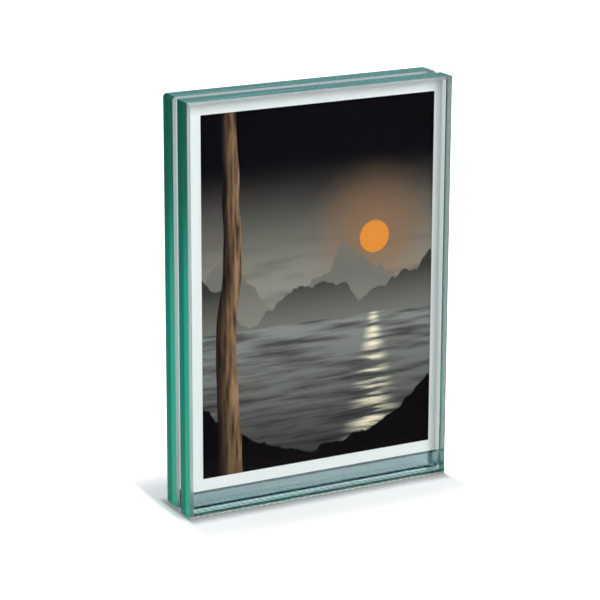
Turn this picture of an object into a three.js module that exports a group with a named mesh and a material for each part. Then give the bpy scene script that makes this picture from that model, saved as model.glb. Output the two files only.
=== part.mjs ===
// A free-standing glass picture frame. Two thick panes stand on edge, held apart by a bar bonded between them
// along the bottom. A print drops into the slot from the open top and stands on the bar.
// Millimetres, +Z up. The origin is under the middle of the frame, on the surface that it stands on.
// The front of the frame faces -Y.

import * as THREE from 'three';

// The print that the frame is made for.
const PRINT_WIDTH = 130;
const PRINT_HEIGHT = 180;
const PRINT_THICKNESS = 0.3;

// How far the glass stands out past a centred print at each side and above it.
const SIDE_MARGIN = 2;
const TOP_MARGIN = 2;

// The two panes are alike: float glass, ground and polished on its edges.
const PANE_THICKNESS = 12;
const PANE_ARRIS = 1.1; // 45 degree flat along every edge of the front and back faces

// The bar between the panes, and the film of clear adhesive on each side of it.
const BAR_TOP = 10; // height of the bar's top above the floor, where the print stands
const BAR_THICKNESS = 2;
const BAR_INSET = PANE_ARRIS; // the bar keeps to the flat of the panes, inside their side and lower arrises
const BOND_THICKNESS = 0.2;

// Where the loose print lies in its slot.
const PRINT_CLEARANCE = 0.3; // air between the front pane and the print
const PRINT_SIDE_SHIFT = SIDE_MARGIN; // the print is pushed to the right, flush with the glass

const PANE_WIDTH = PRINT_WIDTH + 2 * SIDE_MARGIN;
const PANE_HEIGHT = BAR_TOP + PRINT_HEIGHT + TOP_MARGIN;
const SLOT = BAR_THICKNESS + 2 * BOND_THICKNESS;
const FRAME_DEPTH = 2 * PANE_THICKNESS + SLOT;

// Planes that the pieces share, from the front to the back.
const FRONT_PANE_FRONT = -FRAME_DEPTH / 2;
const FRONT_PANE_BACK = FRONT_PANE_FRONT + PANE_THICKNESS;
const BAR_FRONT = FRONT_PANE_BACK + BOND_THICKNESS;
const BAR_BACK = BAR_FRONT + BAR_THICKNESS;
const REAR_PANE_FRONT = BAR_BACK + BOND_THICKNESS;

const FLOAT_GLASS = { color: 0x8fc4b4, roughness: 0.03, metalness: 0, transparent: true, opacity: 0.35 };
const CLEAR_ADHESIVE = { color: 0xdfe8e6, roughness: 0.1, metalness: 0, transparent: true, opacity: 0.3 };
const PHOTO_PAPER = { color: 0xe2e9ea, roughness: 0.45, metalness: 0 };

// A pane lying in its own frame: outline in X and Y, thickness along Z from 0, with an arris round both faces.
function paneGeometry() {
  const half = PANE_WIDTH / 2;
  const outline = new THREE.Shape();
  outline.moveTo(-half, 0);
  outline.lineTo(half, 0);
  outline.lineTo(half, PANE_HEIGHT);
  outline.lineTo(-half, PANE_HEIGHT);
  outline.closePath();
  const geometry = new THREE.ExtrudeGeometry(outline, {
    depth: PANE_THICKNESS - 2 * PANE_ARRIS,
    bevelEnabled: true,
    bevelSegments: 1,
    bevelThickness: PANE_ARRIS,
    bevelSize: PANE_ARRIS,
    bevelOffset: -PANE_ARRIS,
  });
  geometry.translate(0, 0, PANE_ARRIS);
  return geometry;
}

// Stands a pane up so that its front face is at the given depth.
function pane(name, frontY) {
  const mesh = new THREE.Mesh(paneGeometry(), new THREE.MeshStandardMaterial(FLOAT_GLASS));
  mesh.name = name;
  mesh.rotation.x = Math.PI / 2;
  mesh.position.y = frontY + PANE_THICKNESS;
  return mesh;
}

// A plain slab standing between two depths, with its lower edge at bottomZ.
function slab(name, look, width, height, frontY, backY, centreX, bottomZ) {
  const geometry = new THREE.BoxGeometry(width, backY - frontY, height);
  const mesh = new THREE.Mesh(geometry, new THREE.MeshStandardMaterial(look));
  mesh.name = name;
  mesh.position.set(centreX, (frontY + backY) / 2, bottomZ + height / 2);
  return mesh;
}

// The bar and its two films share one outline, so that the adhesive covers the whole face of the bar.
function barSlab(name, look, frontY, backY) {
  const width = PANE_WIDTH - 2 * BAR_INSET;
  const height = BAR_TOP - BAR_INSET;
  return slab(name, look, width, height, frontY, backY, 0, BAR_INSET);
}

// The print stands on the bar, just behind the front pane.
function photoPrint() {
  const front = FRONT_PANE_BACK + PRINT_CLEARANCE;
  const back = front + PRINT_THICKNESS;
  return slab('photo_print', PHOTO_PAPER, PRINT_WIDTH, PRINT_HEIGHT, front, back, PRINT_SIDE_SHIFT, BAR_TOP);
}

const frame = new THREE.Group();
frame.add(pane('front_pane', FRONT_PANE_FRONT));
frame.add(barSlab('front_bond', CLEAR_ADHESIVE, FRONT_PANE_BACK, BAR_FRONT));
frame.add(barSlab('spacer_bar', FLOAT_GLASS, BAR_FRONT, BAR_BACK));
frame.add(barSlab('rear_bond', CLEAR_ADHESIVE, BAR_BACK, REAR_PANE_FRONT));
frame.add(pane('rear_pane', REAR_PANE_FRONT));
frame.add(photoPrint());

export default frame;
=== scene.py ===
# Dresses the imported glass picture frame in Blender. Metres, in the CAD part's own frame: +Z up, front to -Y.

import math

import bpy
from mathutils import Euler, Matrix, Vector


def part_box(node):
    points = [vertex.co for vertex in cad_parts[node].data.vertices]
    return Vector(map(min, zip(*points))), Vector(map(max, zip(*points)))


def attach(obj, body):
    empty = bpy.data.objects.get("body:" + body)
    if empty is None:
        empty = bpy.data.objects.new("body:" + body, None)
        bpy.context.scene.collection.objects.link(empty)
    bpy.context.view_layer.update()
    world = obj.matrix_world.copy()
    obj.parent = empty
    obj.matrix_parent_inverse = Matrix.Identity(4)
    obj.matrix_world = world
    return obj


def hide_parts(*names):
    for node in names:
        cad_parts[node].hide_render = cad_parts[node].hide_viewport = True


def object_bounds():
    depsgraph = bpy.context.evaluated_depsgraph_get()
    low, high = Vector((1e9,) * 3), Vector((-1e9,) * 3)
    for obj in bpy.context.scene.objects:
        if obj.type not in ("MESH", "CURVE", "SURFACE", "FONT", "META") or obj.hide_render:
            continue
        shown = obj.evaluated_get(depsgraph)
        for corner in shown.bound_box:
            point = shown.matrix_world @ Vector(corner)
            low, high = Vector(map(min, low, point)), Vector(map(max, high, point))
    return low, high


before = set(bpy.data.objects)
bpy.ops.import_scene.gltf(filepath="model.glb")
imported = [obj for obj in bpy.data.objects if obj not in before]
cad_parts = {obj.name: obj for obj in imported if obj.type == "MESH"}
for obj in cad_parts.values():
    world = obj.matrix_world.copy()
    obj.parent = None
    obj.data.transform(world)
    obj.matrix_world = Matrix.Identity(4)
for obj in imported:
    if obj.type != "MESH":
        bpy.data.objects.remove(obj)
cad_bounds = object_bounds()


# Rear pane
# A 12 mm plate of clear float glass that stands on its lower edge, bonded to the bar at the bottom. Its edges
# are ground flat to a dull polish, and a 45 degree arris runs round both faces, left satin from the wheel.


def colour(code):
    """An sRGB hex code as the linear colour that shaders take."""
    parts = [int(code[i : i + 2], 16) / 255 for i in (1, 3, 5)]
    linear = [p / 12.92 if p <= 0.04045 else ((p + 0.055) / 1.055) ** 2.4 for p in parts]
    return (*linear, 1)


def add_node(tree, kind, settings=None, links=None):
    """Adds a node. settings fills inputs and properties, links joins inputs to sockets, by name or number.

    A Mix node has its factor at input 0, numbers at 2 and 3 (output 0) and colours at 6 and 7 (output 2).
    """
    node = tree.nodes.new(kind)
    for name, value in (settings or {}).items():
        if isinstance(name, int) or name in node.inputs:
            node.inputs[name].default_value = value
        else:
            setattr(node, name, value)
    for name, socket in (links or {}).items():
        tree.links.new(socket, node.inputs[name])
    return node


def start_box(name, low, high):
    """A box between two corners, left in edit mode with everything selected."""
    bpy.ops.object.select_all(action="DESELECT")
    bpy.ops.mesh.primitive_cube_add(size=1)
    box = bpy.context.object
    box.name = name
    bpy.ops.object.mode_set(mode="EDIT")
    bpy.ops.mesh.select_all(action="SELECT")
    bpy.ops.transform.resize(value=high - low)
    bpy.ops.transform.translate(value=(low + high) / 2)
    return box


def select_only(piece, edges=None, faces=None):
    """Selects, in edit mode, edges whose ends pass one test or faces whose normal passes the other."""
    bpy.ops.object.mode_set(mode="OBJECT")
    mesh = piece.data
    for kind in (mesh.vertices, mesh.edges, mesh.polygons):
        for item in kind:
            item.select = False
    for edge in mesh.edges if edges else ():
        edge.select = edges(*(mesh.vertices[i].co for i in edge.vertices))
    for face in mesh.polygons if faces else ():
        face.select = faces(face.normal)
    bpy.ops.object.mode_set(mode="EDIT")
    bpy.ops.mesh.select_mode(type="EDGE" if edges else "FACE")


def mark_faces(piece, name, wanted):
    """Stores 1 on the faces whose normal passes the test and 0 on the others, for the material to read."""
    values = piece.data.attributes.new(name, "FLOAT", "FACE")
    for face in piece.data.polygons:
        values.data[face.index].value = 1.0 if wanted(face.normal) else 0.0


ARRIS = 0.0011
SOFTENED = 0.00012  # every edge of the glass is taken off by hand at the end
SAME_PLACE = 1e-6
FACING = 0.9  # a normal's share along an axis, from which its face counts as square to it
SLANTED = (0.05, 0.99)  # least and most of a normal along Y on an arris and on the softened edges beside it


def make_pane(node, name, is_satin):
    """Makes a pane in the box of its CAD node. is_satin tells by its normal if an arris is left satin."""
    low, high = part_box(node)
    pane = start_box(name, low, high)
    select_only(pane, edges=lambda a, b: abs(a.y - b.y) < SAME_PLACE)
    bpy.ops.mesh.bevel(offset=ARRIS, segments=1, affect="EDGES")
    bpy.ops.mesh.select_all(action="SELECT")
    bpy.ops.mesh.bevel(offset=SOFTENED, segments=2, affect="EDGES")
    bpy.ops.object.mode_set(mode="OBJECT")
    mark_faces(pane, "edge", lambda n: abs(n.y) < SLANTED[0] and abs(n.z) < FACING)
    mark_faces(pane, "satin", lambda n: SLANTED[0] <= abs(n.y) <= SLANTED[1] and is_satin(n))
    mark_faces(pane, "top", lambda n: n.z > FACING)
    mark_faces(pane, "foot", lambda n: n.z < -FACING)
    pane.data.materials.append(glass)
    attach(pane, "glass_frame")
    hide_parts(node)


# Clear float glass. A thin anti-reflective film keeps its faces from mirroring much. The ground edges are a
# translucent sea green with painted light and shade, the top edges a teal that is painted light, the foot
# cloudy and painted dark as shade, and the satin arrises grey.
glass = bpy.data.materials.new("clear float glass, filmed faces, ground edges")
glass.use_nodes = True
tree = glass.node_tree
shader = tree.nodes["Principled BSDF"]
edge, satin, top, foot = (
    add_node(tree, "ShaderNodeAttribute", {"attribute_name": mark}).outputs["Fac"]
    for mark in ("edge", "satin", "top", "foot")
)
place = add_node(tree, "ShaderNodeTexCoord").outputs["Object"]
split = add_node(tree, "ShaderNodeSeparateXYZ", links={"Vector": place})
height = split.outputs["Z"]

# The wheel leaves grains on the arrises, and slanting marks on those at the bottom. Real ones are finer, and
# these are drawn as coarse as they need to show. A slanting wave repeats every tau / 10 at a scale of 1.
GRAIN = 0.0005
MARK_SPACING = 0.0032
settings = {"Scale": 1 / GRAIN, "Detail": 2.0}
grain = add_node(tree, "ShaderNodeTexNoise", settings, {"Vector": place}).outputs["Fac"]
settings = {"bands_direction": "DIAGONAL", "Scale": math.tau / 10 / MARK_SPACING, "Distortion": 2.0}
marks = add_node(tree, "ShaderNodeTexWave", settings, {"Vector": place}).outputs["Fac"]
fine = add_node(tree, "ShaderNodeMapRange", {"To Max": 0.4}, {"Value": grain}).outputs["Result"]
coarse = add_node(tree, "ShaderNodeMapRange", {"To Min": 0.35}, {"Value": marks}).outputs["Result"]
settings = {"operation": "LESS_THAN", 1: ARRIS + SOFTENED}
low_down = add_node(tree, "ShaderNodeMath", settings, {0: height}).outputs[0]
links = {0: low_down, 2: fine, 3: coarse}
wheel = add_node(tree, "ShaderNodeMix", {"data_type": "FLOAT"}, links).outputs[0]
settings = {"data_type": "RGBA", 6: colour("#a2a7a7"), 7: colour("#f8fcfc")}
satin_tint = add_node(tree, "ShaderNodeMix", settings, {0: wheel}).outputs[2]

# Painted shade: the arrises at the right are painted darker.
settings = {"operation": "GREATER_THAN", 1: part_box("rear_pane")[1].x - ARRIS - SOFTENED}
right = add_node(tree, "ShaderNodeMath", settings, {0: split.outputs["X"]}).outputs[0]
settings = {"data_type": "RGBA", "blend_type": "MULTIPLY", 7: colour("#aab3b3")}
satin_tint = add_node(tree, "ShaderNodeMix", settings, {0: right, 6: satin_tint}).outputs[2]

# Painted light and shade: low down, the front half of each pane's ground edge is painted lighter, and all of
# the edge is painted darker towards the top. The edge also has upright streaks about 2 mm wide.
LIGHT_DEPTH = 0.0056
LIGHT_BLUR = 0.001
LIGHT_BELOW = 0.105
LIGHT_ENDS = 0.16
PALEST_HEIGHT = 0.07
DARKEST_HEIGHT = 0.19
STREAK_WIDTH = 0.002
STREAK_LENGTH = 0.1667
front_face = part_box("front_pane")[0].y
rear_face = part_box("rear_pane")[0].y
settings = {"operation": "SUBTRACT", 1: front_face}
behind = add_node(tree, "ShaderNodeMath", settings, {0: split.outputs["Y"]}).outputs[0]
settings = {"operation": "MODULO", 1: rear_face - front_face}
behind = add_node(tree, "ShaderNodeMath", settings, {0: behind}).outputs[0]
settings = {"From Min": LIGHT_DEPTH + LIGHT_BLUR, "From Max": LIGHT_DEPTH - LIGHT_BLUR}
settings["interpolation_type"] = "SMOOTHSTEP"
front_half = add_node(tree, "ShaderNodeMapRange", settings, {"Value": behind}).outputs["Result"]
settings = {"From Min": LIGHT_ENDS, "From Max": LIGHT_BELOW, "To Min": 0.25}
settings["interpolation_type"] = "SMOOTHSTEP"
lower = add_node(tree, "ShaderNodeMapRange", settings, {"Value": height}).outputs["Result"]
links = {0: front_half, 1: lower}
front_half = add_node(tree, "ShaderNodeMath", {"operation": "MULTIPLY"}, links).outputs[0]
settings = {"data_type": "RGBA", 6: colour("#0db39b"), 7: colour("#3fface")}
edge_tint = add_node(tree, "ShaderNodeMix", settings, {0: front_half}).outputs[2]
settings = {"From Min": DARKEST_HEIGHT, "From Max": PALEST_HEIGHT, "To Min": 0.26, "To Max": 0.84}
settings["interpolation_type"] = "SMOOTHSTEP"
fade = add_node(tree, "ShaderNodeMapRange", settings, {"Value": height}).outputs["Result"]
settings = {"Scale": (1 / STREAK_WIDTH, 1 / STREAK_WIDTH, 1 / STREAK_LENGTH)}
upright = add_node(tree, "ShaderNodeMapping", settings, {"Vector": place}).outputs["Vector"]
settings = {"Scale": 1.0, "Detail": 3.0}
streak = add_node(tree, "ShaderNodeTexNoise", settings, {"Vector": upright}).outputs["Fac"]
settings = {"operation": "MULTIPLY_ADD", 1: 0.4}
fade = add_node(tree, "ShaderNodeMath", settings, {0: streak, 2: fade}).outputs[0]
settings = {"data_type": "RGBA", "blend_type": "MULTIPLY", 0: 1.0}
edge_tint = add_node(tree, "ShaderNodeMix", settings, {6: edge_tint, 7: fade}).outputs[2]

settings = {"data_type": "RGBA", 6: colour("#ffffff")}
tint = add_node(tree, "ShaderNodeMix", settings, {0: edge, 7: edge_tint}).outputs[2]
# Painted light and shade: the top edges are tinted teal for the light seen in them, the foot dark for shade.
for mark, shade in ((top, "#3febf2"), (foot, "#274542")):
    settings = {"data_type": "RGBA", 7: colour(shade)}
    tint = add_node(tree, "ShaderNodeMix", settings, {0: mark, 6: tint}).outputs[2]
links = {0: satin, 6: tint, 7: satin_tint}
tint = add_node(tree, "ShaderNodeMix", {"data_type": "RGBA"}, links).outputs[2]
tree.links.new(tint, shader.inputs["Base Color"])
settings = {"To Min": 0.35, "To Max": 0.55}
rough = add_node(tree, "ShaderNodeMapRange", settings, {"Value": wheel}).outputs["Result"]
rough = add_node(tree, "ShaderNodeMath", {"operation": "MULTIPLY"}, {0: satin, 1: rough}).outputs[0]
settings = {"operation": "MULTIPLY_ADD", 1: 0.25}
rough = add_node(tree, "ShaderNodeMath", settings, {0: edge, 2: rough}).outputs[0]
tree.links.new(rough, shader.inputs["Roughness"])

# How cloudy each surface is, from 0 for the clear faces to 1 for the foot. The ground edges are clearer from
# inside the glass, where they mirror the rest of it.
settings = {"To Min": 0.2, "To Max": 0.5}
cloudy = add_node(tree, "ShaderNodeMapRange", settings, {"Value": low_down}).outputs["Result"]
cloudy = add_node(tree, "ShaderNodeMath", {"operation": "MULTIPLY"}, {0: satin, 1: cloudy}).outputs[0]
inside = add_node(tree, "ShaderNodeNewGeometry").outputs["Backfacing"]
settings = {"To Min": 0.75, "To Max": 0.3}
dull = add_node(tree, "ShaderNodeMapRange", settings, {"Value": inside}).outputs["Result"]
links = {0: edge, 1: dull, 2: cloudy}
cloudy = add_node(tree, "ShaderNodeMath", {"operation": "MULTIPLY_ADD"}, links).outputs[0]
for mark, share in ((top, 0.29), (foot, 1.0)):
    settings = {"operation": "MULTIPLY_ADD", 1: share}
    cloudy = add_node(tree, "ShaderNodeMath", settings, {0: mark, 2: cloudy}).outputs[0]
clear = add_node(tree, "ShaderNodeMath", {"operation": "SUBTRACT", 0: 1.0}, {1: cloudy}).outputs[0]
tree.links.new(clear, shader.inputs["Transmission Weight"])

# The film is a quarter of a wave of red light thick, and its index lies between those of air and glass.
GLASS_IOR = 1.55
GLASS_DEPTH = {"Color": colour("#aae7de"), "Density": 11.0}
shader.inputs["Thin Film Thickness"].default_value = 139.0
shader.inputs["Thin Film IOR"].default_value = 1.233
shader.inputs["IOR"].default_value = GLASS_IOR
depth = add_node(tree, "ShaderNodeVolumeAbsorption", GLASS_DEPTH)
tree.links.new(depth.outputs["Volume"], tree.nodes["Material Output"].inputs["Volume"])

make_pane("rear_pane", "rear_pane_glass", lambda n: True)


# Rear bond
# A film of clear adhesive, 0.2 mm thick, run in between the rear pane and the bar and cured by UV light. Here
# a hairline of air is left on each side of it, so that no two clear faces lie in one plane.

HAIRLINE = 0.00003

# The adhesive is as clear as the glass, with faint streaks along the bar where it ran before it set. The
# front film has a painted dark line of shade low down.
RUN_LENGTH = 0.0833
RUN_HEIGHT = 0.001667
SHADE_LINE_HEIGHT = 0.00238
SHADE_LINE_HALF_WIDTH = 0.00028
adhesive = bpy.data.materials.new("clear UV cured adhesive, streaked")
adhesive.use_nodes = True
tree = adhesive.node_tree
shader = tree.nodes["Principled BSDF"]
place = add_node(tree, "ShaderNodeTexCoord").outputs["Object"]
settings = {"Scale": (1 / RUN_LENGTH, 1.0, 1 / RUN_HEIGHT)}
along = add_node(tree, "ShaderNodeMapping", settings, {"Vector": place}).outputs["Vector"]
settings = {"Scale": 1.0, "Detail": 3.0}
streak = add_node(tree, "ShaderNodeTexNoise", settings, {"Vector": along}).outputs["Fac"]
settings = {"data_type": "RGBA", 6: colour("#dae5ea"), 7: colour("#fdffff")}
tint = add_node(tree, "ShaderNodeMix", settings, {0: streak}).outputs[2]
split = add_node(tree, "ShaderNodeSeparateXYZ", links={"Vector": place})
# Painted shade: the dark line low down on the front film.
settings = {"operation": "COMPARE", 1: SHADE_LINE_HEIGHT, 2: SHADE_LINE_HALF_WIDTH}
painted_shade_line = add_node(tree, "ShaderNodeMath", settings, {0: split.outputs["Z"]}).outputs[0]
settings = {"operation": "LESS_THAN", 1: 0.0}
front_film = add_node(tree, "ShaderNodeMath", settings, {0: split.outputs["Y"]}).outputs[0]
painted_shade_line = add_node(tree, "ShaderNodeMath", {"operation": "MULTIPLY"}, {0: painted_shade_line, 1: front_film}).outputs[0]
settings = {"data_type": "RGBA", 7: colour("#0d1616")}
tint = add_node(tree, "ShaderNodeMix", settings, {0: painted_shade_line, 6: tint}).outputs[2]
tree.links.new(tint, shader.inputs["Base Color"])
settings = {"To Min": 0.0, "To Max": 0.03}
rough = add_node(tree, "ShaderNodeMapRange", settings, {"Value": streak}).outputs["Result"]
tree.links.new(rough, shader.inputs["Roughness"])
shader.inputs["IOR"].default_value = 1.5
shader.inputs["Transmission Weight"].default_value = 1.0


def make_bond(node, name):
    """Makes a film in the box of its CAD node, thinner by a hairline on each side."""
    low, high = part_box(node)
    low.y += HAIRLINE
    high.y -= HAIRLINE
    bond = start_box(name, low, high)
    bpy.ops.object.mode_set(mode="OBJECT")
    bond.data.materials.append(adhesive)
    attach(bond, "glass_frame")
    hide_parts(node)


make_bond("rear_bond", "rear_bond_adhesive")


# Spacer bar
# A clear glass strip, 2 mm thick and about 9 mm high, along the bottom between the panes. It holds the slot
# open and carries the print. Its long edges are seamed with a fine stone.

LONG_EDGE = 0.01  # only the long edges run further than this along X
low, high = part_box("spacer_bar")
spacer_bar = start_box("spacer_bar_glass", low, high)
select_only(spacer_bar, edges=lambda a, b: abs(a.x - b.x) > LONG_EDGE)
bpy.ops.mesh.bevel(offset=SOFTENED, segments=2, affect="EDGES")
bpy.ops.object.mode_set(mode="OBJECT")

# Clear strip glass, a little bluer than the panes, with the fine lines of drawn glass along it. Its tint is
# painted paler towards its right end, as painted light, and it is darker in the last millimetre under its
# seamed top.
LINE_LENGTH = 0.1667
LINE_HEIGHT = 0.00111
DARK_TOP_BAND = 0.0012
strip_glass = bpy.data.materials.new("clear drawn strip glass")
strip_glass.use_nodes = True
tree = strip_glass.node_tree
shader = tree.nodes["Principled BSDF"]
place = add_node(tree, "ShaderNodeTexCoord").outputs["Object"]
settings = {"Scale": (1 / LINE_LENGTH, 1.0, 1 / LINE_HEIGHT)}
along = add_node(tree, "ShaderNodeMapping", settings, {"Vector": place}).outputs["Vector"]
settings = {"Scale": 1.0, "Detail": 2.0}
line = add_node(tree, "ShaderNodeTexNoise", settings, {"Vector": along}).outputs["Fac"]
settings = {"data_type": "RGBA", 6: colour("#cbd7db"), 7: colour("#dee8eb")}
tint = add_node(tree, "ShaderNodeMix", settings, {0: line}).outputs[2]
split = add_node(tree, "ShaderNodeSeparateXYZ", links={"Vector": place})
# Painted light: paler towards the right end.
settings = {"From Min": low.x, "From Max": high.x, "To Max": 0.6}
painted_light_to_right = add_node(tree, "ShaderNodeMapRange", settings, {"Value": split.outputs["X"]}).outputs["Result"]
settings = {"data_type": "RGBA", 7: colour("#fafcfd")}
tint = add_node(tree, "ShaderNodeMix", settings, {0: painted_light_to_right, 6: tint}).outputs[2]
# Darker in the last millimetre under the top.
settings = {"operation": "GREATER_THAN", 1: high.z - DARK_TOP_BAND}
darker_top_band = add_node(tree, "ShaderNodeMath", settings, {0: split.outputs["Z"]}).outputs[0]
settings = {"data_type": "RGBA", "blend_type": "MULTIPLY", 7: colour("#8e9595")}
tint = add_node(tree, "ShaderNodeMix", settings, {0: darker_top_band, 6: tint}).outputs[2]
tree.links.new(tint, shader.inputs["Base Color"])
shader.inputs["Roughness"].default_value = 0.0
shader.inputs["IOR"].default_value = GLASS_IOR
shader.inputs["Transmission Weight"].default_value = 1.0
depth = add_node(tree, "ShaderNodeVolumeAbsorption", GLASS_DEPTH)
tree.links.new(depth.outputs["Volume"], tree.nodes["Material Output"].inputs["Volume"])
spacer_bar.data.materials.append(strip_glass)
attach(spacer_bar, "glass_frame")
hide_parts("spacer_bar")


# Front bond
# The same film of clear adhesive, 0.2 mm thick, between the bar and the front pane. It was run in and cured
# through the glass in the same way.

make_bond("front_bond", "front_bond_adhesive")


# Front pane
# The same plate of float glass as the rear one, bonded to the front of the bar. Its arrises are satin too,
# apart from those at the right and the top of its back face, which are polished.

TURNED = 0.1  # from this share of its normal on, an arris counts as turned down or to the left
make_pane("front_pane", "front_pane_glass", lambda n: n.y < 0 or n.z < -TURNED or n.x < -TURNED)


# Print
# A 13 x 18 cm print on white photographic paper, trimmed square, with a plain border 5.6 mm wide. It stands
# loose on the bar, pushed to the right. The picture is a made-up one of a lake at dusk.

BORDER = 0.0056
STANDING_GAP = 0.00005  # a hair of air, so that the sheet and the bar don't share a plane
MIDDLE_REACH = 0.001  # the inset face is the one whose centre is this near the middle
low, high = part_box("photo_print")
low.z += STANDING_GAP
middle = (low + high) / 2
sheet = start_box("print_sheet", low, high)
select_only(sheet, faces=lambda n: n.y < -FACING)
bpy.ops.mesh.inset(thickness=BORDER)
bpy.ops.object.mode_set(mode="OBJECT")
picture = sheet.data.attributes.new("picture", "FLOAT", "FACE")
for face in sheet.data.polygons:
    away = face.center - middle
    central = abs(away.x) < MIDDLE_REACH and abs(away.z) < MIDDLE_REACH
    picture.data[face.index].value = 1.0 if central and face.normal.y < -FACING else 0.0

# Matt paper: white at the border and the back, with inks that don't shine. The picture is laid out from its
# middle, in shares of its height of about 169 mm.
paper = bpy.data.materials.new("white photographic paper, matt inks")
paper.use_nodes = True
tree = paper.node_tree
shader = tree.nodes["Principled BSDF"]
shader.inputs["Specular IOR Level"].default_value = 0.0
PICTURE_HEIGHT = high.z - low.z - 2 * BORDER
settings = {"Scale": (1 / PICTURE_HEIGHT,) * 3, "Location": -middle / PICTURE_HEIGHT}
place = add_node(tree, "ShaderNodeTexCoord").outputs["Object"]
spot = add_node(tree, "ShaderNodeMapping", settings, {"Vector": place}).outputs["Vector"]
split = add_node(tree, "ShaderNodeSeparateXYZ", links={"Vector": spot})
across = split.outputs["X"]
up = split.outputs["Z"]

# Sky: nearly black overhead, with warm grey haze towards the hills and thin clouds, 35 mm long and 6 mm high.
settings = {"interpolation_type": "SMOOTHSTEP", "From Min": 0.36, "From Max": -0.06}
haze = add_node(tree, "ShaderNodeMapRange", settings, {"Value": up}).outputs["Result"]
settings = {"data_type": "RGBA", 6: colour("#020202"), 7: colour("#8e857c")}
scene_colour = add_node(tree, "ShaderNodeMix", settings, {0: haze}).outputs[2]
flat = add_node(tree, "ShaderNodeMapping", {"Scale": (1.6, 1.0, 9.0)}, {"Vector": spot}).outputs["Vector"]
cloud = add_node(tree, "ShaderNodeTexNoise", {"Scale": 3.0, "Detail": 6.0}, {"Vector": flat}).outputs["Fac"]
settings = {"From Min": 0.48, "From Max": 0.72, "To Max": 0.8}
cloud = add_node(tree, "ShaderNodeMapRange", settings, {"Value": cloud}).outputs["Result"]
cloud = add_node(tree, "ShaderNodeMath", {"operation": "MULTIPLY"}, {0: cloud, 1: haze}).outputs[0]
settings = {"data_type": "RGBA", 7: colour("#57504a")}
scene_colour = add_node(tree, "ShaderNodeMix", settings, {0: cloud, 6: scene_colour}).outputs[2]

# Sun: an orange disc low on the right, 15 mm across, in a brown glow.
SUN = (0.17, 0.0, 0.115)
SUN_RADIUS = 0.045
SUN_BLUR = 0.002
GLOW_RADIUS = 0.24
settings = {"operation": "DISTANCE", 1: SUN}
away = add_node(tree, "ShaderNodeVectorMath", settings, {0: spot}).outputs["Value"]
settings = {"interpolation_type": "SMOOTHSTEP", "From Min": GLOW_RADIUS, "From Max": 0.03, "To Max": 0.75}
glow = add_node(tree, "ShaderNodeMapRange", settings, {"Value": away}).outputs["Result"]
settings = {"data_type": "RGBA", 7: colour("#8a6446")}
scene_colour = add_node(tree, "ShaderNodeMix", settings, {0: glow, 6: scene_colour}).outputs[2]
settings = {"From Min": SUN_RADIUS + SUN_BLUR, "From Max": SUN_RADIUS - SUN_BLUR}
settings["interpolation_type"] = "SMOOTHSTEP"
disc = add_node(tree, "ShaderNodeMapRange", settings, {"Value": away}).outputs["Result"]
settings = {"data_type": "RGBA", 7: colour("#dc8433")}
scene_colour = add_node(tree, "ShaderNodeMix", settings, {0: disc, 6: scene_colour}).outputs[2]

# Hills: two ridges with peaks about 34 and 50 mm apart, the nearer one darker, with mist at their feet.
FAR_HILLS = (3.0, 5.0, 0.34, 0.02, "#6f6862")
NEAR_HILLS = (11.0, 3.4, 0.40, -0.03, "#37332f")
for start, peaks, rise, base, shade in (FAR_HILLS, NEAR_HILLS):
    along = add_node(tree, "ShaderNodeMath", {"operation": "ADD", 1: start}, {0: across}).outputs[0]
    settings = {"noise_dimensions": "1D", "Scale": peaks, "Detail": 5.0}
    ridge = add_node(tree, "ShaderNodeTexNoise", settings, {"W": along}).outputs["Fac"]
    settings = {"operation": "MULTIPLY_ADD", 1: rise, 2: base - rise / 2}
    ridge = add_node(tree, "ShaderNodeMath", settings, {0: ridge}).outputs[0]
    above = add_node(tree, "ShaderNodeMath", {"operation": "SUBTRACT"}, {0: up, 1: ridge}).outputs[0]
    settings = {"interpolation_type": "SMOOTHSTEP", "From Min": 0.002, "From Max": -0.002}
    hill = add_node(tree, "ShaderNodeMapRange", settings, {"Value": above}).outputs["Result"]
    settings = {"From Min": 0.02, "From Max": -0.16, "To Max": 0.7}
    mist = add_node(tree, "ShaderNodeMapRange", settings, {"Value": up}).outputs["Result"]
    settings = {"data_type": "RGBA", 6: colour(shade), 7: colour("#968d85")}
    slope = add_node(tree, "ShaderNodeMix", settings, {0: mist}).outputs[2]
    links = {0: hill, 6: scene_colour, 7: slope}
    scene_colour = add_node(tree, "ShaderNodeMix", {"data_type": "RGBA"}, links).outputs[2]

# Water: grey, darker towards the viewer, in flat ripples 34 mm long and 3 mm high, with a path of light under
# the sun that widens from the shore to the lower end of the picture.
SHORE = -0.10
LOWER_END = -0.5
settings = {"From Min": SHORE, "From Max": LOWER_END}
near = add_node(tree, "ShaderNodeMapRange", settings, {"Value": up}).outputs["Result"]
settings = {"data_type": "RGBA", 6: colour("#86827e"), 7: colour("#2c2b2a")}
water = add_node(tree, "ShaderNodeMix", settings, {0: near}).outputs[2]
flat = add_node(tree, "ShaderNodeMapping", {"Scale": (5.0, 1.0, 55.0)}, {"Vector": spot}).outputs["Vector"]
ripple = add_node(tree, "ShaderNodeTexNoise", {"Scale": 1.0, "Detail": 4.0}, {"Vector": flat}).outputs["Fac"]
settings = {"From Min": 0.42, "From Max": 0.66, "To Max": 0.75}
trough = add_node(tree, "ShaderNodeMapRange", settings, {"Value": ripple}).outputs["Result"]
settings = {"data_type": "RGBA", 7: colour("#1b1b1c")}
water = add_node(tree, "ShaderNodeMix", settings, {0: trough, 6: water}).outputs[2]
aside = add_node(tree, "ShaderNodeMath", {"operation": "SUBTRACT", 1: SUN[0]}, {0: across}).outputs[0]
aside = add_node(tree, "ShaderNodeMath", {"operation": "ABSOLUTE"}, {0: aside}).outputs[0]
settings = {"From Min": SHORE, "From Max": LOWER_END, "To Min": 0.02, "To Max": 0.13}
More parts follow.
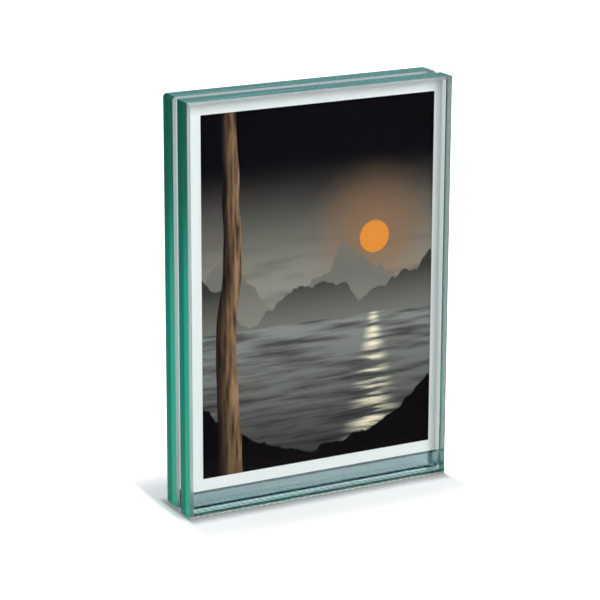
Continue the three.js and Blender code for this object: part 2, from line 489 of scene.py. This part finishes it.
reach = add_node(tree, "ShaderNodeMapRange", settings, {"Value": up}).outputs["Result"]
path = add_node(tree, "ShaderNodeMath", {"operation": "DIVIDE"}, {0: aside, 1: reach}).outputs[0]
settings = {"interpolation_type": "SMOOTHSTEP", "From Min": 1.0, "From Max": 0.0}
path = add_node(tree, "ShaderNodeMapRange", settings, {"Value": path}).outputs["Result"]
settings = {"From Min": 0.54, "From Max": 0.40}
crest = add_node(tree, "ShaderNodeMapRange", settings, {"Value": ripple}).outputs["Result"]
path = add_node(tree, "ShaderNodeMath", {"operation": "MULTIPLY"}, {0: path, 1: crest}).outputs[0]
settings = {"data_type": "RGBA", 7: colour("#f2dcc0")}
water = add_node(tree, "ShaderNodeMix", settings, {0: path, 6: water}).outputs[2]
settings = {"From Min": SHORE + 0.001, "From Max": SHORE - 0.001}
lake = add_node(tree, "ShaderNodeMapRange", settings, {"Value": up}).outputs["Result"]
links = {0: lake, 6: scene_colour, 7: water}
scene_colour = add_node(tree, "ShaderNodeMix", {"data_type": "RGBA"}, links).outputs[2]

# Bank: black, with bumps about 12 mm wide, rising to fill the lower corners.
square = add_node(tree, "ShaderNodeMath", {"operation": "POWER", 1: 2.0}, {0: across}).outputs[0]
settings = {"noise_dimensions": "1D", "Scale": 14.0, "Detail": 5.0}
bump = add_node(tree, "ShaderNodeTexNoise", settings, {"W": across}).outputs["Fac"]
settings = {"operation": "MULTIPLY_ADD", 1: 0.07, 2: LOWER_END}
bank = add_node(tree, "ShaderNodeMath", settings, {0: bump}).outputs[0]
settings = {"operation": "MULTIPLY_ADD", 1: 1.3}
bank = add_node(tree, "ShaderNodeMath", settings, {0: square, 2: bank}).outputs[0]
above = add_node(tree, "ShaderNodeMath", {"operation": "SUBTRACT"}, {0: up, 1: bank}).outputs[0]
settings = {"interpolation_type": "SMOOTHSTEP", "From Min": 0.003, "From Max": -0.003}
bank = add_node(tree, "ShaderNodeMapRange", settings, {"Value": above}).outputs["Result"]
settings = {"data_type": "RGBA", 7: colour("#020202")}
scene_colour = add_node(tree, "ShaderNodeMix", settings, {0: bank, 6: scene_colour}).outputs[2]

# Trunk: a brown tree up the left side, swaying a little, with bark in ridges 2 mm wide and 19 mm long.
settings = {"noise_dimensions": "1D", "Scale": 2.2, "Detail": 2.0}
sway = add_node(tree, "ShaderNodeTexNoise", settings, {"W": up}).outputs["Fac"]
settings = {"operation": "MULTIPLY_ADD", 1: -0.06, 2: 0.30}
lean = add_node(tree, "ShaderNodeMath", settings, {0: sway}).outputs[0]
leaning = add_node(tree, "ShaderNodeMath", {"operation": "ADD"}, {0: across, 1: lean}).outputs[0]
aside = add_node(tree, "ShaderNodeMath", {"operation": "ABSOLUTE"}, {0: leaning}).outputs[0]
settings = {"From Min": -LOWER_END, "From Max": LOWER_END, "To Min": 0.022, "To Max": 0.036}
girth = add_node(tree, "ShaderNodeMapRange", settings, {"Value": up}).outputs["Result"]
outside = add_node(tree, "ShaderNodeMath", {"operation": "SUBTRACT"}, {0: aside, 1: girth}).outputs[0]
settings = {"interpolation_type": "SMOOTHSTEP", "From Min": 0.001, "From Max": -0.002}
trunk = add_node(tree, "ShaderNodeMapRange", settings, {"Value": outside}).outputs["Result"]
settings = {"Scale": (90.0, 1.0, 9.0)}
upright = add_node(tree, "ShaderNodeMapping", settings, {"Vector": spot}).outputs["Vector"]
settings = {"Scale": 1.0, "Detail": 5.0}
bark = add_node(tree, "ShaderNodeTexNoise", settings, {"Vector": upright}).outputs["Fac"]
settings = {"From Min": 0.35, "From Max": 0.65}
bark = add_node(tree, "ShaderNodeMapRange", settings, {"Value": bark}).outputs["Result"]
round_off = add_node(tree, "ShaderNodeMath", {"operation": "DIVIDE"}, {0: leaning, 1: girth}).outputs[0]
settings = {"interpolation_type": "SMOOTHSTEP", "From Min": -1.0, "From Max": 0.9, "To Min": 0.05}
round_off = add_node(tree, "ShaderNodeMapRange", settings, {"Value": round_off}).outputs["Result"]
settings = {"data_type": "RGBA", 6: colour("#3a281c"), 7: colour("#a07a58")}
bark = add_node(tree, "ShaderNodeMix", settings, {0: bark}).outputs[2]
settings = {"data_type": "RGBA", 6: colour("#040303")}
bark = add_node(tree, "ShaderNodeMix", settings, {0: round_off, 7: bark}).outputs[2]
links = {0: trunk, 6: scene_colour, 7: bark}
scene_colour = add_node(tree, "ShaderNodeMix", {"data_type": "RGBA"}, links).outputs[2]

# The sheet: a tooth of about 0.3 mm in the paper, and the picture inside its border.
TOOTH = 0.000286
inked = add_node(tree, "ShaderNodeAttribute", {"attribute_name": "picture"}).outputs["Fac"]
settings = {"Scale": 1 / TOOTH, "Detail": 2.0}
tooth = add_node(tree, "ShaderNodeTexNoise", settings, {"Vector": place}).outputs["Fac"]
settings = {"data_type": "RGBA", 6: colour("#e1dbdb"), 7: colour("#e5dfdf")}
bare_sheet = add_node(tree, "ShaderNodeMix", settings, {0: tooth}).outputs[2]
links = {0: inked, 6: bare_sheet, 7: scene_colour}
sheet_colour = add_node(tree, "ShaderNodeMix", {"data_type": "RGBA"}, links).outputs[2]
tree.links.new(sheet_colour, shader.inputs["Base Color"])
settings = {"To Min": 0.52, "To Max": 0.62}
rough = add_node(tree, "ShaderNodeMapRange", settings, {"Value": tooth}).outputs["Result"]
tree.links.new(rough, shader.inputs["Roughness"])
sheet.data.materials.append(paper)
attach(sheet, "print")
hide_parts("photo_print")


# Floor
# A plain white sweep of matt paper, laid under the frame. To the camera it is white, with a painted shadow
# that darkens it only near the frame. Through the glass it is a soft grey, as the photo shows.

FLOOR_SIZE = 12
FLOOR_DROP = 0.0002  # just under the frame, so that no two faces lie in one plane
bpy.ops.object.select_all(action="DESELECT")
bpy.ops.mesh.primitive_plane_add(size=FLOOR_SIZE)
floor = bpy.context.object
floor.name = "studio_floor"
floor.location.z = -FLOOR_DROP
sweep = bpy.data.materials.new("white studio sweep, matt")
sweep.use_nodes = True
tree = sweep.node_tree
shader = tree.nodes["Principled BSDF"]
shader.inputs["Roughness"].default_value = 0.6
shader.inputs["Specular IOR Level"].default_value = 0.2
shader.inputs["Emission Color"].default_value = colour("#ffffff")
ray = add_node(tree, "ShaderNodeLightPath").outputs
place = add_node(tree, "ShaderNodeTexCoord").outputs["Object"]

# Rays that reach the floor by way of glass alone, and those that were mirrored on their way.
settings = {"operation": "LESS_THAN", 1: 0.5}
glassy = add_node(tree, "ShaderNodeMath", settings, {0: ray["Diffuse Depth"]}).outputs[0]
links = {0: glassy, 1: ray["Is Glossy Ray"]}
glassy = add_node(tree, "ShaderNodeMath", {"operation": "MULTIPLY"}, links).outputs[0]
settings = {"operation": "GREATER_THAN", 1: 0.5}
mirrored = add_node(tree, "ShaderNodeMath", settings, {0: ray["Glossy Depth"]}).outputs[0]

# The distance from the frame's foot, for the painted shadow round it. The shade lies a little to the left,
# away from the lamp, and ends sooner at the sides than at the front and the back.
SHADE_SHIFT = 0.0009
SIDEWAYS = 8.3
CONTACT_REACH = 0.009
SHADE_STARTS_TO_FADE = 0.013
SHADE_ENDS = 0.055
half_size = (Vector(cad_bounds[1]) - Vector(cad_bounds[0])) / 2
settings = {"operation": "ADD", 1: (SHADE_SHIFT, 0, 0)}
offset = add_node(tree, "ShaderNodeVectorMath", settings, {0: place}).outputs["Vector"]
offset = add_node(tree, "ShaderNodeVectorMath", {"operation": "ABSOLUTE"}, {0: offset}).outputs["Vector"]
for operation, value in (("SUBTRACT", half_size), ("MAXIMUM", (0, 0, 0)), ("MULTIPLY", (SIDEWAYS, 1, 0))):
    settings = {"operation": operation, 1: value}
    offset = add_node(tree, "ShaderNodeVectorMath", settings, {0: offset}).outputs["Vector"]
distance = add_node(tree, "ShaderNodeVectorMath", {"operation": "LENGTH"}, {0: offset}).outputs["Value"]
# Painted shadow: near the foot the floor's colour is darkened and its glow held back.
settings = {"interpolation_type": "SMOOTHSTEP", "From Max": CONTACT_REACH, "To Min": 0.33}
contact = add_node(tree, "ShaderNodeMapRange", settings, {"Value": distance}).outputs["Result"]
settings = {"From Min": SHADE_STARTS_TO_FADE, "From Max": SHADE_ENDS, "To Min": 0.15, "To Max": 0.84}
settings["interpolation_type"] = "SMOOTHSTEP"
open_floor = add_node(tree, "ShaderNodeMapRange", settings, {"Value": distance}).outputs["Result"]
settings = {"operation": "MULTIPLY", 1: 0.97}
seen = add_node(tree, "ShaderNodeMath", settings, {0: contact}).outputs[0]

# A darker card lies on the floor in front of the frame and to its left. Only mirrored rays see it, so that
# the blacks of the print stay deep behind the glass.
CARD_AHEAD = (0.2, -0.98, 0)
CARD_LEFT = -0.07
CARD_STARTS = 0.02
CARD_FULL = 0.08
settings = {"operation": "DOT_PRODUCT", 1: CARD_AHEAD}
forward = add_node(tree, "ShaderNodeVectorMath", settings, {0: place}).outputs["Value"]
leftward = add_node(tree, "ShaderNodeSeparateXYZ", links={"Vector": place}).outputs["X"]
settings = {"operation": "SUBTRACT", 0: CARD_LEFT}
leftward = add_node(tree, "ShaderNodeMath", settings, {1: leftward}).outputs[0]
forward = add_node(tree, "ShaderNodeMath", {"operation": "MAXIMUM"}, {0: forward, 1: leftward}).outputs[0]
settings = {"interpolation_type": "SMOOTHSTEP", "From Min": CARD_STARTS, "From Max": CARD_FULL}
on_card = add_node(tree, "ShaderNodeMapRange", settings, {"Value": forward}).outputs["Result"]
on_card = add_node(tree, "ShaderNodeMath", {"operation": "MULTIPLY"}, {0: on_card, 1: mirrored}).outputs[0]
settings = {"data_type": "FLOAT", 2: 0.47, 3: 0.12}
card = add_node(tree, "ShaderNodeMix", settings, {0: on_card}).outputs[0]
settings = {"data_type": "FLOAT", 2: 0.45}
shade = add_node(tree, "ShaderNodeMix", settings, {0: glassy, 3: card}).outputs[0]
links = {0: ray["Is Camera Ray"], 2: shade, 3: seen}
shade = add_node(tree, "ShaderNodeMix", {"data_type": "FLOAT"}, links).outputs[0]
tree.links.new(shade, shader.inputs["Base Color"])
glow = add_node(tree, "ShaderNodeMath", {"operation": "MULTIPLY", 1: 0.65}, {0: glassy}).outputs[0]
for dimmer in (card, contact):
    glow = add_node(tree, "ShaderNodeMath", {"operation": "MULTIPLY"}, {0: glow, 1: dimmer}).outputs[0]
links = {0: ray["Is Camera Ray"], 1: open_floor, 2: glow}
glow = add_node(tree, "ShaderNodeMath", {"operation": "MULTIPLY_ADD"}, links).outputs[0]
tree.links.new(glow, shader.inputs["Emission Strength"])
floor.data.materials.append(sweep)


# Surroundings
# A dim, slightly cool studio with a bright card low in front of the frame, a little to the right, and a soft
# fill behind it that isn't mirrored in the glass. To the camera it is white.

FRONT = Vector((0.34, -0.93, 0.1)).normalized()
BACK = Vector((0.25, 0.92, 0.3)).normalized()
NARROWNESS = 5.0
STUDIO = colour("#afb4b7")
FILL = colour("#f9fbfe")
FRONT_STRENGTH = 2.96
FRONT_CARD = (*(FRONT_STRENGTH * part for part in colour("#fdfeff")[:3]), 1)
THROUGH_GLASS = (1.45, 1.45, 1.45, 1)  # how much brighter the studio is to rays that come through glass
world = bpy.data.worlds.new("studio")
bpy.context.scene.world = world
world.use_nodes = True
tree = world.node_tree
place = add_node(tree, "ShaderNodeTexCoord").outputs["Generated"]
ray = add_node(tree, "ShaderNodeLightPath").outputs
towards = []
for direction in (BACK, FRONT):
    settings = {"operation": "DOT_PRODUCT", 1: direction}
    share = add_node(tree, "ShaderNodeVectorMath", settings, {0: place}).outputs["Value"]
    share = add_node(tree, "ShaderNodeMath", {"operation": "MAXIMUM", 1: 0.0}, {0: share}).outputs[0]
    share = add_node(tree, "ShaderNodeMath", {"operation": "POWER", 1: NARROWNESS}, {0: share}).outputs[0]
    towards.append(share)
towards_back, towards_front = towards
links = {0: ray["Is Glossy Ray"], 1: ray["Is Reflection Ray"]}
mirrored = add_node(tree, "ShaderNodeMath", {"operation": "MULTIPLY"}, links).outputs[0]
settings = {"data_type": "RGBA", 6: FILL, 7: STUDIO}
fill = add_node(tree, "ShaderNodeMix", settings, {0: mirrored}).outputs[2]
settings = {"data_type": "RGBA", 6: STUDIO}
studio = add_node(tree, "ShaderNodeMix", settings, {0: towards_back, 7: fill}).outputs[2]
settings = {"data_type": "RGBA", 7: FRONT_CARD}
studio = add_node(tree, "ShaderNodeMix", settings, {0: towards_front, 6: studio}).outputs[2]
settings = {"data_type": "RGBA", "blend_type": "MULTIPLY", 7: THROUGH_GLASS}
studio = add_node(tree, "ShaderNodeMix", settings, {0: ray["Is Transmission Ray"], 6: studio}).outputs[2]
settings = {"data_type": "RGBA", 7: colour("#ffffff")}
seen = add_node(tree, "ShaderNodeMix", settings, {0: ray["Is Camera Ray"], 6: studio}).outputs[2]
tree.links.new(seen, tree.nodes["Background"].inputs["Color"])


# Key light
# A square softbox, 60 cm wide, on the right in front of the frame and well above it. It points just in
# front of the frame, and throws the soft shadow at the left.

KEY_PLACE = Vector((0.6, -0.6, 0.66))
KEY_AIM = Vector((0.05, -0.1, 0.08))
softbox = bpy.data.lights.new("key softbox", "AREA")
softbox.shape = "SQUARE"
softbox.size = 0.6
softbox.energy = 3.8
key = bpy.data.objects.new("key softbox", softbox)
bpy.context.scene.collection.objects.link(key)
key.location = KEY_PLACE
key.rotation_euler = (KEY_AIM - KEY_PLACE).to_track_quat("-Z", "Y").to_euler()


# Camera
# A long lens, 1.18 m from the middle of the frame, to the left of its front and a little above it, as in the
# photo. The angles were fitted to the edges of the glass.

YAW = math.radians(28.053)
PITCH = math.radians(16.19)
ROLL = math.radians(0.215)
DISTANCE = 1.180
AIM = Vector((-0.004688, 0, 0.092003))
lens = bpy.data.cameras.new("camera")
lens.lens = 154.68
camera = bpy.data.objects.new("camera", lens)
bpy.context.scene.collection.objects.link(camera)
turn = Euler((math.pi / 2 - PITCH, 0, -YAW)).to_matrix() @ Matrix.Rotation(ROLL, 3, "Z")
camera.location = AIM + turn @ Vector((0, 0, DISTANCE))
camera.rotation_euler = turn.to_euler()
scene = bpy.context.scene
scene.camera = camera
scene.view_settings.view_transform = "Standard"

# Light crosses many glass faces on its way, and the glass is left as sharp for it as for the camera.
MANY_FACES = 32
scene.cycles.max_bounces = MANY_FACES
scene.cycles.transmission_bounces = MANY_FACES
scene.cycles.glossy_bounces = MANY_FACES
scene.cycles.blur_glossy = 0.0
